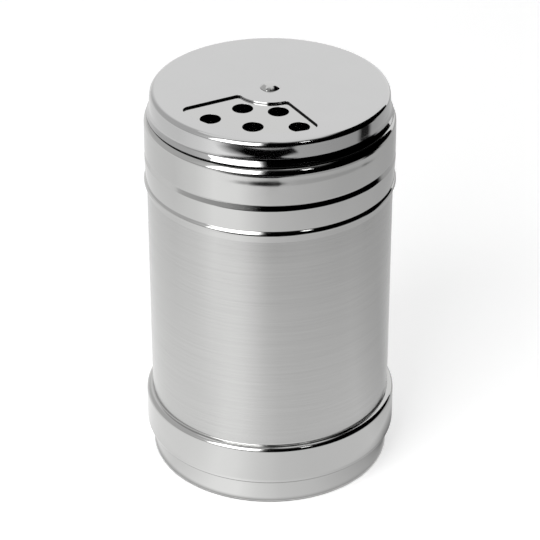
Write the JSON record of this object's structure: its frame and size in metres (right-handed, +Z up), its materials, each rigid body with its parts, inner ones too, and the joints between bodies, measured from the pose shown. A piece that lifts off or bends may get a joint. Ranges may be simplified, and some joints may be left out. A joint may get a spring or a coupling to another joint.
{
  "type": "spice shaker",
  "caption": "Stainless steel spice shaker: drawn cup with a raised band, push-on lid with dispensing holes, and a windowed cap that turns on a rivet to choose them.",
  "frame": {"origin": "centre of the foot, on the surface the shaker stands on", "axes": "+Z up along the shaker's axis, -Y towards the five coarse holes that the window shows at rest"},
  "size_m": [0.063, 0.063, 0.1015],
  "materials": {
    "brushed_steel": "stainless steel, brushed round the wall, polished at the band",
    "polished_steel": "mirror-polished stainless steel",
    "cap_steel": "polished stainless steel with a satin top",
    "rivet_steel": "polished stainless steel, upset head",
    "spring_steel": "tempered spring steel",
    "washer_steel": "stamped stainless steel"
  },
  "bodies": {
    "container": {"container": "brushed_steel"},
    "lid": {"lid_shell": "polished_steel", "pivot_rivet": "rivet_steel", "spring_washer": "spring_steel", "backing_washer": "washer_steel"},
    "cap": {"rotating_cap": "cap_steel"}
  },
  "joints": [
    {"name": "lid_lift", "type": "slide", "parent": "container", "child": "lid", "axis": [0, 0, 1], "range_m": [0, 0.03]},
    {"name": "cap_turn", "type": "hinge", "parent": "lid", "child": "cap", "pos_m": [0, 0, 0.1003], "axis": [0, 0, 1], "continuous": true}
  ]
}
